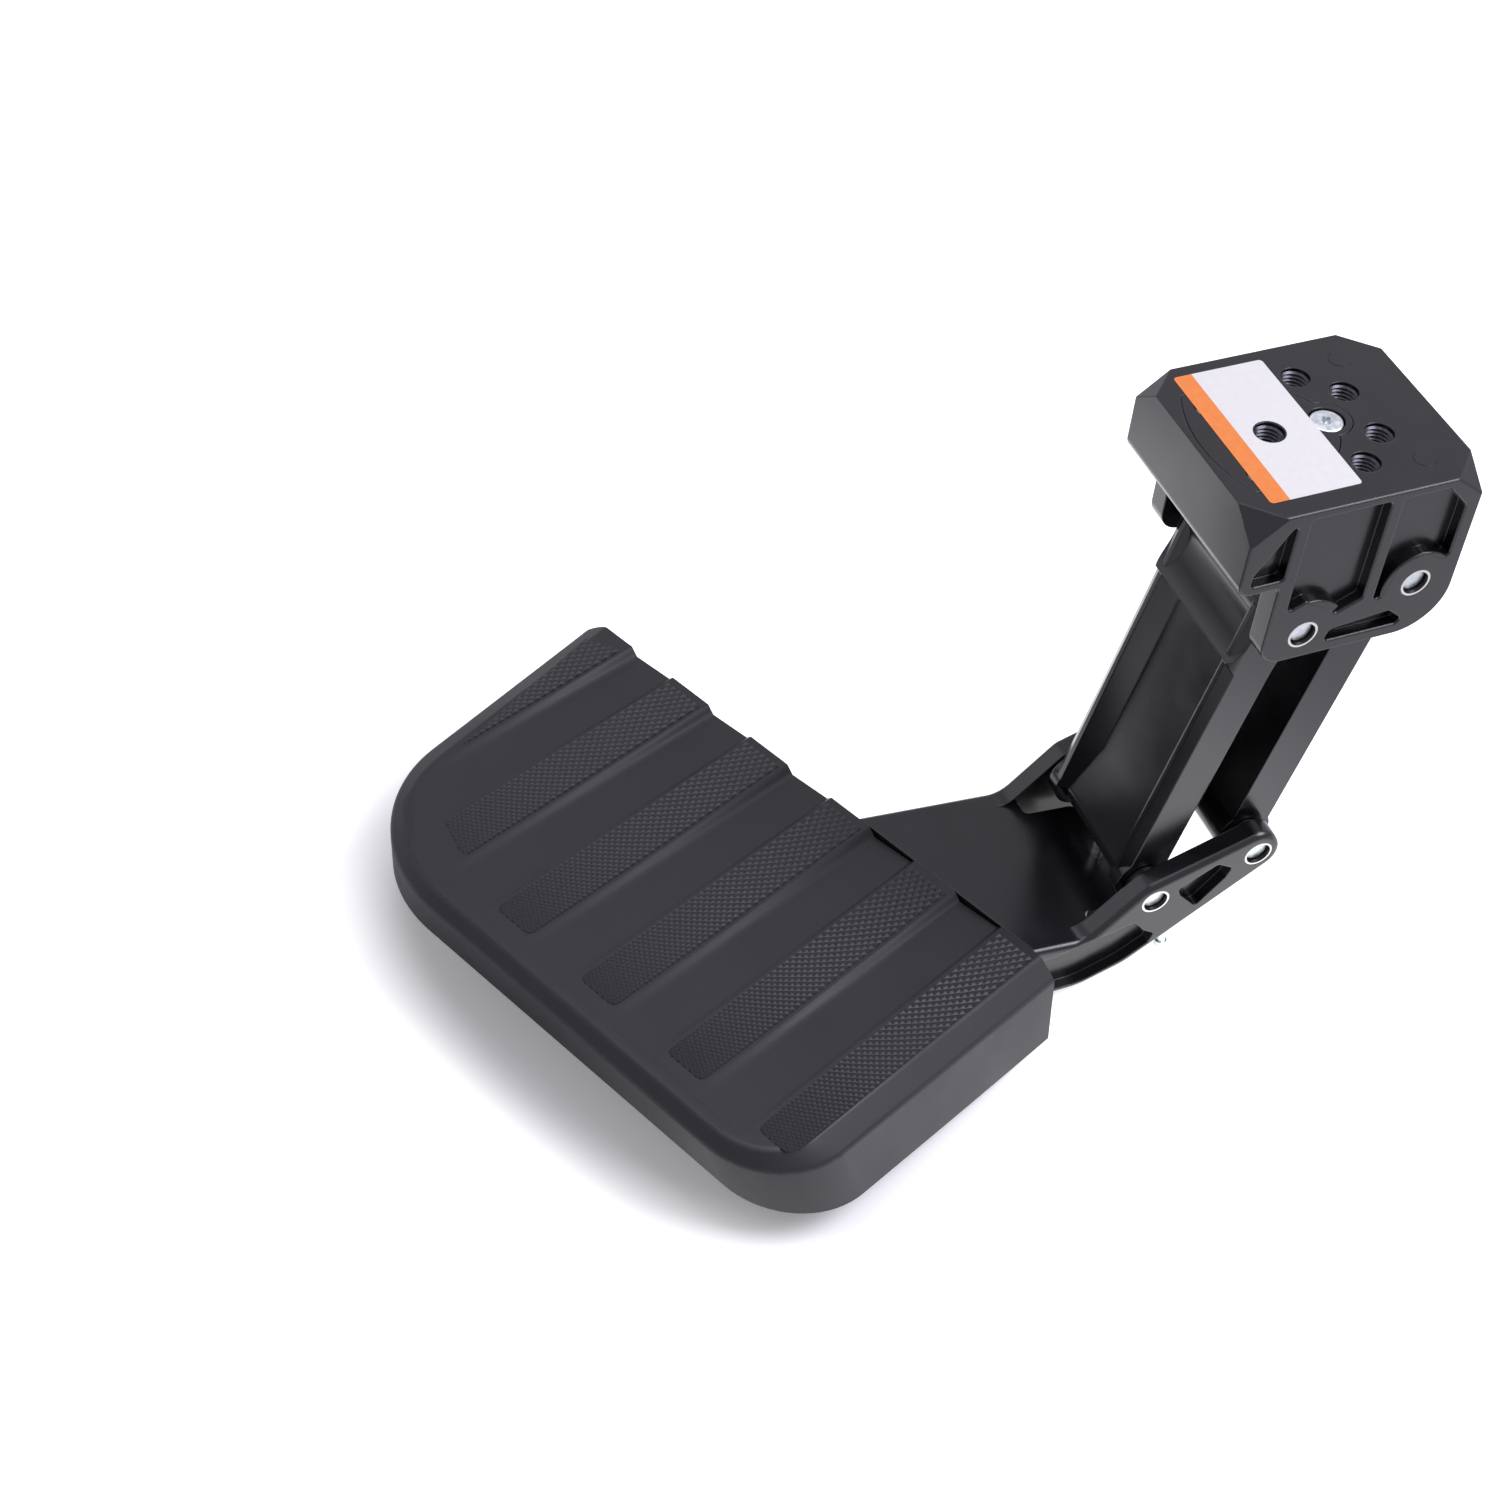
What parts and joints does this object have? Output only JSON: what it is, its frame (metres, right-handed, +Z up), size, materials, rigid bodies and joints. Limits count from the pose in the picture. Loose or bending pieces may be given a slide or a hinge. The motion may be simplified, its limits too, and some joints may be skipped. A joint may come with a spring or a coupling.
{
  "type": "retractable bumper step",
  "caption": "Fold-away vehicle step: a spring-loaded hinge head bolted under the bumper, two parallel links and a cast foot carrying an angled, ribbed tread.",
  "frame": {"origin": "centre of the threaded hole in the spring cap, on the head's flat mounting face", "axes": "+X along the pivot pins, +Y rearward from the tread towards the vehicle, +Z up, square to the mounting face"},
  "size_m": [0.3213, 0.4058, 0.2712],
  "materials": {
    "cast_black": "die-cast, satin black powder coat",
    "tread": "moulded, matte charcoal, knurled bands",
    "zinc": "zinc plated steel",
    "bush": "plain steel bush",
    "spring": "oiled spring steel"
  },
  "bodies": {
    "head": {"hinge_head": "cast_black", "spring_cap": "cast_black", "cap_screws": "zinc", "spring_seat": "spring", "coil_spring": "spring", "head_front_bushes": "bush", "head_rear_bushes": "bush"},
    "plunger": {"plunger": "spring"},
    "front_link": {"front_link": "cast_black", "upper_front_pin": "zinc", "lower_front_pin": "zinc"},
    "rear_link": {"rear_link": "cast_black", "upper_rear_pin": "zinc", "lower_rear_pin": "zinc"},
    "foot": {"step_foot": "cast_black", "foot_front_bushes": "bush", "foot_rear_bushes": "bush", "step_pad": "tread", "pad_screws": "zinc", "pad_washers": "zinc", "stop_screw": "zinc", "stop_nut": "zinc", "bush_lock_screw": "zinc"}
  },
  "joints": [
    {"name": "step_swing", "type": "hinge", "parent": "head", "child": "front_link", "pos_m": [0, 0.0042, -0.0663], "axis": [1, 0, 0], "range_deg": [0, 85], "stiffness_Nm_per_rad": 3, "springref_deg": -34.38},
    {"name": "rear_link_swing", "type": "hinge", "parent": "head", "child": "rear_link", "pos_m": [0, 0.0518, -0.0521], "axis": [1, 0, 0], "range_deg": [0, 85]},
    {"name": "foot_pivot", "type": "hinge", "parent": "front_link", "child": "foot", "pos_m": [0, -0.03161, -0.21659], "axis": [1, 0, 0], "range_deg": [-85, 0]},
    {"name": "plunger_slide", "type": "slide", "parent": "head", "child": "plunger", "axis": [0, 0, 1], "range_m": [0, 0.006], "deforming": ["coil_spring"]}
  ],
  "couplings": [
    {"joint": "rear_link_swing", "follows": "step_swing", "ratio": 1},
    {"joint": "foot_pivot", "follows": "step_swing", "ratio": -1},
    {"joint": "plunger_slide", "follows": "step_swing", "m_per_rad": 0.004}
  ]
}
